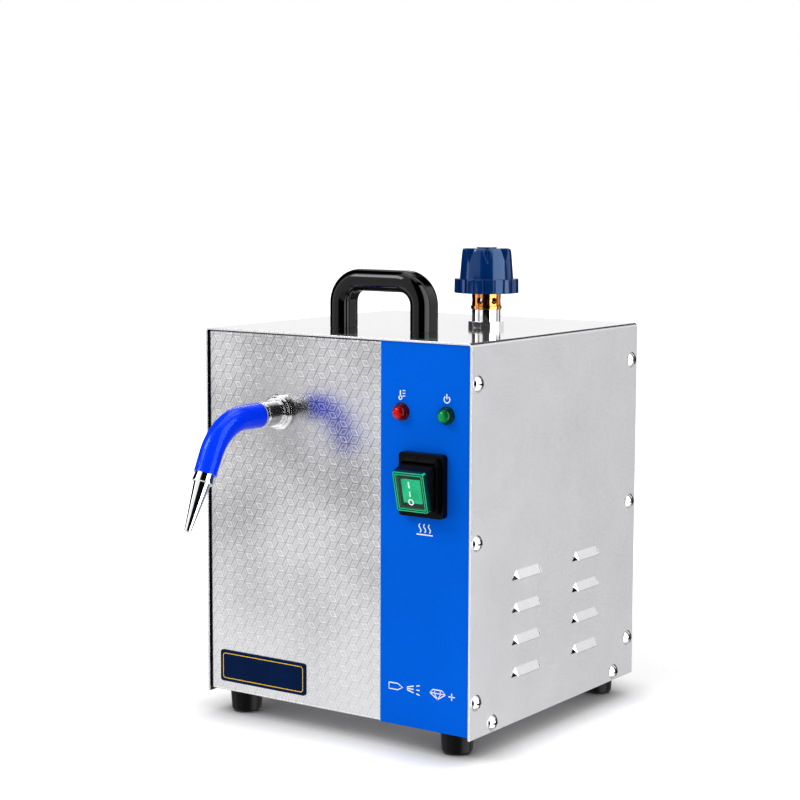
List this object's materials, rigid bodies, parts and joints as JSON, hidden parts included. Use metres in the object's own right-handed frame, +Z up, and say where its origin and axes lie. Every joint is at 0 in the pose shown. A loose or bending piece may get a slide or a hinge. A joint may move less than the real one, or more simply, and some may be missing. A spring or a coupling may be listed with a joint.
{
  "type": "jewelry steam cleaner",
  "caption": "Bench steam cleaner in a louvred steel case, with a bent steam nozzle, filler cap, carry handle, rocker switch and indicator lamps.",
  "frame": {"origin": "on the table under the middle of the outline, between the nozzle's tip and the drain's end", "axes": "+Z up, +Y from the front panel to the back, +X to the right as seen from the front"},
  "size_m": [0.2564, 0.4016, 0.3731],
  "materials": {
    "satin_steel": "satin stainless sheet",
    "patterned_steel": "stainless sheet with a rolled pattern of cubes",
    "inner_steel": "plain steel",
    "chrome": "polished",
    "brass": "turned brass",
    "copper": "drawn copper tube",
    "blue_stripe": "matt printed film",
    "navy_plate": "printed metal plate",
    "blue_sleeve": "glossy silicone",
    "blue_knob": "glossy moulded plastic",
    "black_gloss": "glossy moulded plastic",
    "black_plastic": "moulded plastic",
    "black_rubber": "matt rubber",
    "red_lens": "clear tinted plastic",
    "green_lens": "clear tinted plastic",
    "green_cap": "clear tinted plastic",
    "lit_green": "lit plastic",
    "pale_plastic": "moulded plastic"
  },
  "bodies": {
    "case": {"cover_shell": "satin_steel", "front_panel": "patterned_steel", "rear_panel": "satin_steel", "base_pan": "inner_steel", "control_stripe": "blue_stripe", "badge_plate": "navy_plate", "cover_screws": "chrome", "rubber_feet": "black_rubber", "foot_screws": "inner_steel", "handle": "black_gloss", "handle_spacers": "black_gloss", "handle_screws": "inner_steel", "switch_bezel": "black_plastic", "switch_housing": "black_plastic", "red_lamp_lens": "red_lens", "green_lamp_lens": "green_lens", "lamp_bodies": "black_plastic", "spout_flange": "chrome", "spout_union": "chrome", "panel_nuts": "inner_steel", "spout_pipe": "inner_steel", "spout_sleeve": "blue_sleeve", "nozzle_collar": "chrome", "nozzle_tip": "chrome", "boiler_tank": "inner_steel", "boiler_stand": "inner_steel", "stand_bolts": "inner_steel", "filler_neck": "chrome", "neck_nut": "chrome", "heater_plug": "brass", "heating_element": "inner_steel", "thermal_cutout": "black_plastic", "pressure_switch": "black_plastic", "steam_pipes": "copper", "pipe_nuts": "brass", "solenoid_body": "brass", "solenoid_tube": "inner_steel", "solenoid_spring": "inner_steel", "solenoid_coil": "black_plastic", "drain_pipe": "copper", "drain_valve": "brass", "mains_inlet": "black_plastic", "inlet_pins": "chrome", "inlet_screws": "chrome", "pedal_socket": "black_plastic", "terminal_block": "pale_plastic"},
    "rocker": {"rocker": "black_plastic", "rocker_cap": "green_cap", "rocker_window": "lit_green"},
    "cap_seal": {"cap_seal": "black_rubber"},
    "filler_cap": {"cap_stem": "brass", "cap_knob": "blue_knob", "cap_disc": "blue_knob", "relief_plug": "brass", "relief_spring": "inner_steel"},
    "relief_ball": {"relief_ball": "inner_steel"},
    "plunger": {"solenoid_plunger": "inner_steel"},
    "drain_cock": {"drain_ball": "chrome", "drain_lever": "satin_steel"},
    "fuse_drawer": {"fuse_drawer": "black_plastic"}
  },
  "joints": [
    {"name": "rocker_tilt", "type": "hinge", "parent": "case", "child": "rocker", "pos_m": [0.0838, -0.0948, 0.2037], "axis": [-1, 0, 0], "range_deg": [0, 26.8]},
    {"name": "cap_lift", "type": "slide", "parent": "case", "child": "cap_seal", "axis": [0, 0, 1], "range_m": [0, 0.01]},
    {"name": "cap_turn", "type": "hinge", "parent": "cap_seal", "child": "filler_cap", "pos_m": [0.0486, 0.0478, 0.3239], "axis": [0, 0, 1], "range_deg": [0, 1800.1]},
    {"name": "relief_lift", "type": "slide", "parent": "filler_cap", "child": "relief_ball", "axis": [0, 0, 1], "range_m": [0, 0.002], "stiffness_N_per_m": 2000, "springref_m": -0.004, "deforming": ["relief_spring"]},
    {"name": "plunger_lift", "type": "slide", "parent": "case", "child": "plunger", "axis": [0, 0, 1], "range_m": [0, 0.0025], "stiffness_N_per_m": 300, "springref_m": -0.005, "deforming": ["solenoid_spring"]},
    {"name": "drain_turn", "type": "hinge", "parent": "case", "child": "drain_cock", "pos_m": [0.0486, 0.176, 0.0827], "axis": [0, 0, 1], "range_deg": [0, 90]},
    {"name": "fuse_slide", "type": "slide", "parent": "case", "child": "fuse_drawer", "axis": [0, 1, 0], "range_m": [0, 0.012]}
  ],
  "couplings": [
    {"joint": "cap_turn", "follows": "cap_lift", "rad_per_m": 3141.6}
  ]
}
